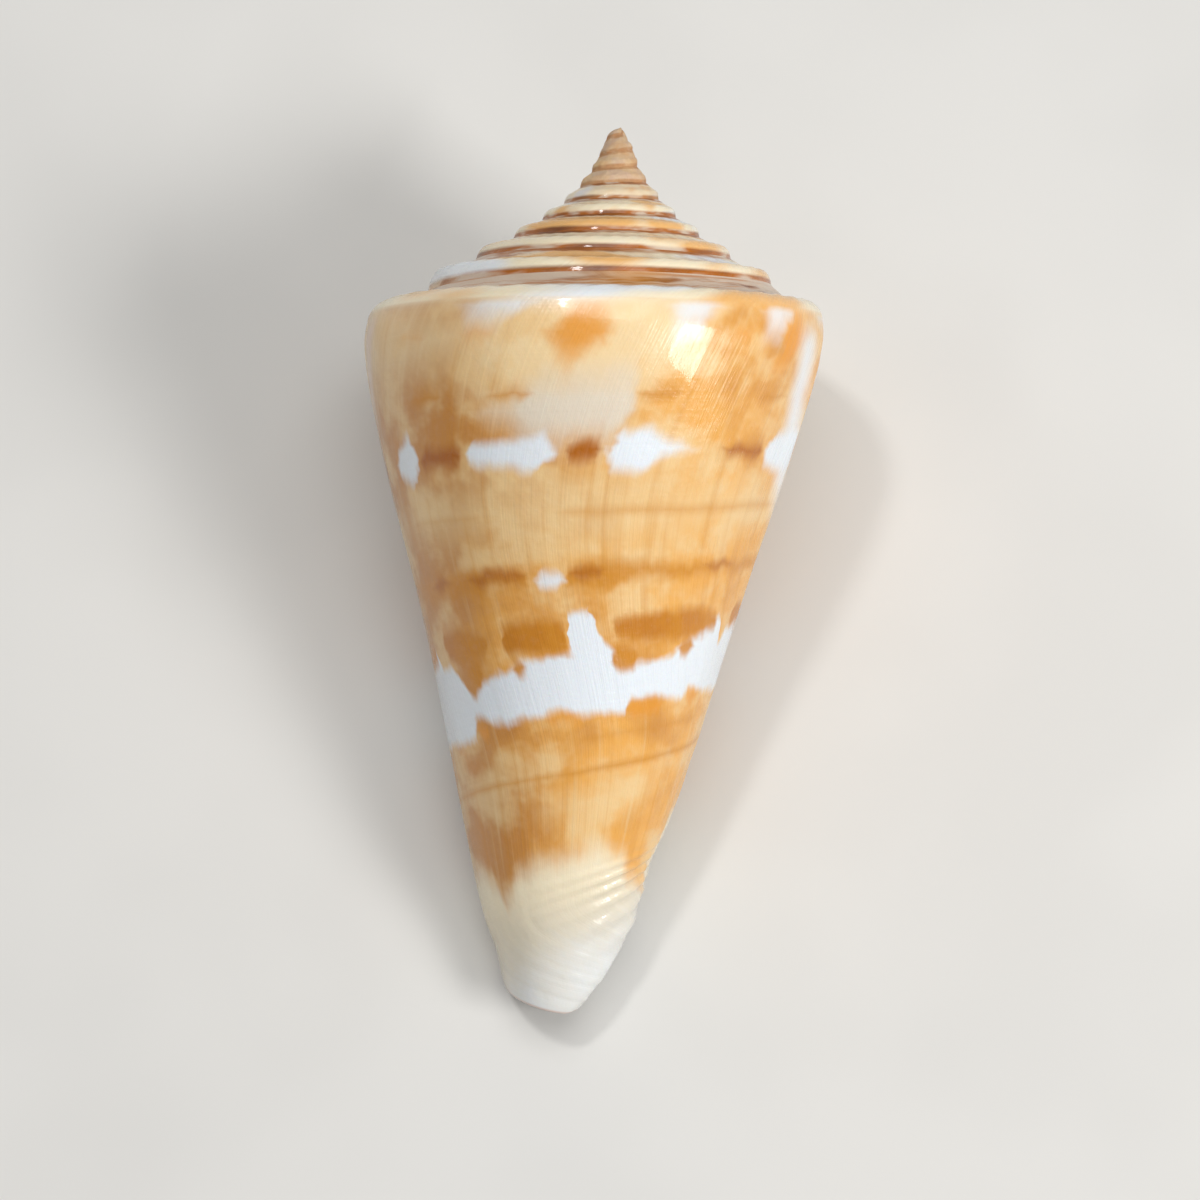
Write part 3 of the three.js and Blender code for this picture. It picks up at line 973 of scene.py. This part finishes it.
def relief(skin, depth):
    """Fine growth lines, a faint spiral striation, and pits that are deeper on the worn whorls."""
    paint = skin.paint
    lines = paint.clouds(paint.spot(skin.age * 420, skin.girth * 6), 1.0, 3.0, 0.6)
    spiral = paint.clouds(paint.spot(skin.age * 4, skin.girth * 190), 1.0, 1.0)
    pits = paint.clouds(skin.here, 3400, 2.0)
    ripple = paint.clouds(skin.here, 600, 2.0)
    height = lines * (skin.age.rise(0.18, 0.42) * 0.5 + 0.4) * (1 - skin.girth.rise(1.78, 1.86) * 0.6)
    height = height + spiral * 0.12 + pits * (skin.worn * 1.2 + 0.3) + ripple * 0.5
    bump = paint.node("ShaderNodeBump", {}, {"Strength": 1.0, "Distance": depth, "Height": height})
    return bump.socket()


def shell_material(colours, form):
    """Polished shell: glassy on the side, duller in the sutures and on the worn first whorls."""
    skin = Skin()
    paint = skin.paint
    spire, dark = spire_colour(skin, colours)
    side = scarred_side(skin, colours, form)
    outer = paint.mix(spire, side, skin.below_face * (1 - skin.age.rise(1.0, 1.1)))
    outer = paint.mix(outer, colours.lip, (1 - skin.age.rise(LIP_AGE + 0.003, LIP_AGE + 0.01)) * 0.9)
    lining = paint.mix(colours.lining, colours.lip, skin.patches.rise(0.35, 0.7) * 0.5)
    whole = paint.mix(outer, lining, skin.inner.rise(0.05, 0.75))
    whole = paint.mix(whole, colours.white, (skin.grain - 0.5) * 0.10)
    dull = skin.worn * 0.3 + dark * 0.1 * (1 - skin.below_face) + (skin.patches - 0.5) * 0.1 + 0.24

    varying = {
        "Base Color": whole,
        "Roughness": dull,
        "Coat Weight": (1 - skin.worn) * 0.3 + 0.03,
        "Normal": relief(skin, form.line_depth),
    }
    constant = {
        "Coat Roughness": 0.06,
        "IOR": 1.53,
        "Specular IOR Level": 0.3,
        "Subsurface Weight": 0.08,
        "Subsurface Radius": (1.0, 0.6, 0.35),
        "Subsurface Scale": 0.0009,
    }
    for name, given in (varying | constant).items():
        paint.put(paint.surface.inputs[name], given)
    return paint.material


def floor_material(colour):
    paint = Paint("floor")
    here = paint.node("ShaderNodeTexCoord").socket("Object")
    mottle = paint.clouds(here, 60, 2.0)
    shade = paint.mix(colour, tuple(c * 0.96 for c in colour), mottle.rise(0.35, 0.65))
    paint.put(paint.surface.inputs["Base Color"], shade)
    paint.surface.inputs["Roughness"].default_value = 0.8
    return paint.material


# --------------------------------------------------------------------------------------------------
# The add-on


def colour_property(name, code, description):
    return FloatVectorProperty(
        name=name, description=description, default=tone(code), subtype="COLOR", min=0, max=1
    )


def angle_property(name, degrees, description):
    return FloatProperty(name=name, description=description, default=math.radians(degrees), subtype="ANGLE")


def length_property(name, metres, description):
    return FloatProperty(
        name=name, description=description, default=metres, unit="LENGTH", min=0, precision=5
    )


class ShellForm(bpy.types.PropertyGroup):
    wall: length_property("Wall", 0.00085, "Thickness of the wall behind the lip")
    lip_wall: length_property("Lip", 0.000425, "Thickness of the wall at the lip's edge")
    cord_height: length_property("Cord Height", 0.00015, "Height of the spiral cords at the anterior end")
    ridge_height: length_property("Ridge Height", 0.00003, "Height of the growth ridges")
    line_depth: length_property("Line Depth", 0.00005, "Depth of the finest growth lines")
    cord_count: FloatProperty(name="Cords", description="Cords along the whole side", default=52.0, min=0)
    scar_age: FloatProperty(name="Scar Age", description="Whorls back to the healed break", default=0.465)
    steps_per_whorl: IntProperty(name="Steps", description="Growth stages per whorl", default=36, min=12)
    roundness: IntProperty(name="Roundness", description="Subdivision levels", default=2, min=0, max=3)
    roll: angle_property("Roll", 151.7, "Turn about the axis at rest")
    pitch: angle_property("Pitch", 14.4, "Rise of the apex at rest")


class ShellColours(bpy.types.PropertyGroup):
    # the tan is partly the ground's own colour near the lip and partly painted shade on that side
    tan: colour_property("Tan", "CC8D48", "Duller ground near the lip")
    orange: colour_property("Orange", "EDAE58", "Main ground")
    pale: colour_property("Pale Tan", "F0D09A", "Lighter clouds in the ground")
    deep: colour_property("Deep Orange", "E79A38", "Spots under the shoulder")
    amber: colour_property("Amber", "D08A2C", "Thin lines and halos")
    brown: colour_property("Brown", "B2661A", "Dark dashes")
    umber: colour_property("Umber", "7A4824", "Darkest sutures")
    mauve: colour_property("Mauve", "D2BFAA", "Greyish parts of the sutures")
    butter: colour_property("Butter", "F7DFB0", "Warm pale clouds under the shoulder")
    haze: colour_property("Haze", "E6DFCF", "Pale cloud in the upper side")
    cream: colour_property("Cream", "F5E6C6", "Clouds and bright whorls")
    white: colour_property("White", "E9EEF2", "White blotches and band")
    bone: colour_property("Bone", "E2D8C2", "Anterior end")
    worn: colour_property("Worn", "D6AC82", "First whorls")
    lip: colour_property("Lip", "E6CFC4", "Edge of the lip")
    lining: colour_property("Lining", "F2E9DD", "Inside of the wall")


class StudioSettings(bpy.types.PropertyGroup):
    floor_size: length_property("Floor", 1.2, "Side of the square floor")
    floor_colour: colour_property("Floor Colour", "DCDAD5", "Colour of the floor")
    distance: length_property("Distance", 0.19, "Camera to the middle of the shell")
    span: length_property("Span", 0.05615, "Width of the view at the middle of the shell")
    elevation: angle_property("Elevation", 75, "Camera above the floor")
    tilt: angle_property("Tilt", -2.5, "Turn of the image")
    aim_right: length_property("Aim Right", 0.00068, "How far right of the middle the camera looks")
    aim_down: length_property("Aim Down", 0.00229, "How far below the middle the camera looks")
    brightness: FloatProperty(name="Brightness", description="Strength of all lights", default=1.0, min=0)


class OBJECT_OT_grow_cone_shell(bpy.types.Operator):
    """Grow the shell and lay it on its aperture"""

    bl_idname = "object.grow_cone_shell"
    bl_label = "Grow Cone Shell"

    def execute(self, context):
        form = context.scene.shell_form
        deselect_all()
        shell = grow_shell(form)
        subdivide(shell, form.roundness)
        wear_and_growth(shell, form)
        lay_down(shell, form)
        bpy.ops.object.shade_smooth()
        shell.data.materials.append(shell_material(context.scene.shell_colours, form))
        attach(shell, "root")
        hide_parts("shell")
        return {"FINISHED"}


# Each light's name, place, width in metres and power in watts
LIGHTS = (
    ("window", (0.26, -0.10, 0.23), 0.13, 0.78),
    ("lamp", (-0.10, 0.09, 0.32), 0.04, 0.24),
    ("sky", (0.02, 0.10, 0.45), 0.35, 0.78),
)
LIGHT_HEIGHT_TO_WIDTH = 0.8
SKY_COLOUR = (0.93, 0.95, 1.0, 1)
SKY_STRENGTH = 0.2
SENSOR_MM = 36


def add_light(name, centre, side, watts, target):
    bpy.ops.object.light_add(type="AREA", location=centre)
    light = bpy.context.object
    light.name = name
    light.data.shape = "RECTANGLE"
    light.data.size, light.data.size_y = side, side * LIGHT_HEIGHT_TO_WIDTH
    light.data.energy = watts
    light.rotation_euler = (target - centre).to_track_quat("-Z", "Y").to_euler()


def studio_world():
    world = bpy.data.worlds.new("studio")
    world.use_nodes = True
    background = world.node_tree.nodes["Background"]
    background.inputs["Color"].default_value = SKY_COLOUR
    background.inputs["Strength"].default_value = SKY_STRENGTH
    return world


def add_camera(studio, middle):
    """A camera south of the shell, raised by the elevation and turned by the tilt about its own axis."""
    back = Vector((0, -math.cos(studio.elevation), math.sin(studio.elevation)))
    right = Vector((1, 0, 0))
    up = back.cross(right)
    c, s = math.cos(studio.tilt), math.sin(studio.tilt)
    right, up = right * c - up * s, right * s + up * c
    bpy.ops.object.camera_add()
    camera = bpy.context.object
    camera.data.sensor_width = SENSOR_MM
    camera.data.lens = SENSOR_MM * studio.distance / studio.span
    camera.data.clip_start = 0.01
    aim = middle + right * studio.aim_right - up * studio.aim_down
    turn = Matrix((right, up, back)).transposed().to_4x4()
    camera.matrix_world = Matrix.Translation(aim + back * studio.distance) @ turn
    return camera


class SCENE_OT_light_cone_shell(bpy.types.Operator):
    """Add the floor, the soft lights and the camera"""

    bl_idname = "scene.light_cone_shell"
    bl_label = "Set the Stage"

    def execute(self, context):
        studio = context.scene.shell_studio
        low, high = (Vector(corner) for corner in CAD_BOUNDS)
        middle = (low + high) / 2
        deselect_all()
        bpy.ops.mesh.primitive_plane_add(size=studio.floor_size, location=(0, 0, 0))
        floor = context.object
        floor.name = "floor"
        floor.data.materials.append(floor_material(studio.floor_colour))

        for name, centre, side, watts in LIGHTS:
            add_light(name, Vector(centre), side, watts * studio.brightness, middle)
        context.scene.world = studio_world()
        context.scene.view_settings.view_transform = "Standard"
        context.scene.camera = add_camera(studio, middle)
        return {"FINISHED"}


class VIEW3D_PT_cone_shell(bpy.types.Panel):
    """The shell's sizes and colours"""

    bl_idname = "VIEW3D_PT_cone_shell"
    bl_label = "Cone Shell"
    bl_space_type = "VIEW_3D"
    bl_region_type = "UI"
    bl_category = "Shell"

    def draw(self, context):
        scene = context.scene
        for operator, settings in (
            (OBJECT_OT_grow_cone_shell, (scene.shell_form, scene.shell_colours)),
            (SCENE_OT_light_cone_shell, (scene.shell_studio,)),
        ):
            box = self.layout.box()
            for group in settings:
                for name in group.__annotations__:
                    box.prop(group, name)
            box.operator(operator.bl_idname)


CLASSES = (
    ShellForm,
    ShellColours,
    StudioSettings,
    OBJECT_OT_grow_cone_shell,
    SCENE_OT_light_cone_shell,
    VIEW3D_PT_cone_shell,
)


def register():
    for cls in CLASSES:
        bpy.utils.register_class(cls)
    bpy.types.Scene.shell_form = PointerProperty(type=ShellForm)
    bpy.types.Scene.shell_colours = PointerProperty(type=ShellColours)
    bpy.types.Scene.shell_studio = PointerProperty(type=StudioSettings)


def unregister():
    del bpy.types.Scene.shell_studio
    del bpy.types.Scene.shell_colours
    del bpy.types.Scene.shell_form
    for cls in reversed(CLASSES):
        bpy.utils.unregister_class(cls)


def main():
    register()
    bpy.ops.object.grow_cone_shell()
    bpy.ops.scene.light_cone_shell()


if __name__ == "__main__":
    main()
